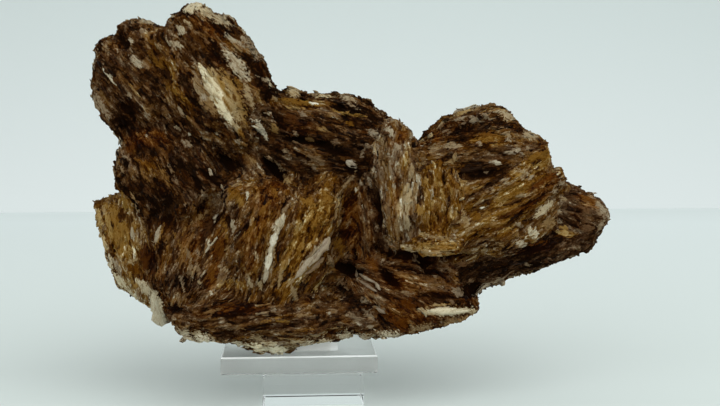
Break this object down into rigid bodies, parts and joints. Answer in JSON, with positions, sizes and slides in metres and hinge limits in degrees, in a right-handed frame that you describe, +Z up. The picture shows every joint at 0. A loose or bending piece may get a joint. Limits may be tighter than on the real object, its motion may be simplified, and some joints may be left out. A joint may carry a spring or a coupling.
{
  "type": "barite specimen",
  "caption": "Intergrown sheaves of brown and cream bladed barite crystals, resting upright on a clear acrylic riser, plate and block.",
  "frame": {"origin": "middle of the acrylic block's underside, which rests on the table", "axes": "+Z up, +X along the specimen's length towards its narrow tip, -Y towards the viewer of its display side"},
  "size_m": [0.1614, 0.057, 0.1242],
  "materials": {
    "bladed_barite": "ragged blade edges in umber, ochre and cream, glassy on fresh faces and dull between them",
    "clear_acrylic": "polished clear cast acrylic"
  },
  "bodies": {
    "root": {"barite": "bladed_barite", "stand_riser": "clear_acrylic", "stand_plate": "clear_acrylic", "stand_block": "clear_acrylic"}
  },
  "joints": []
}
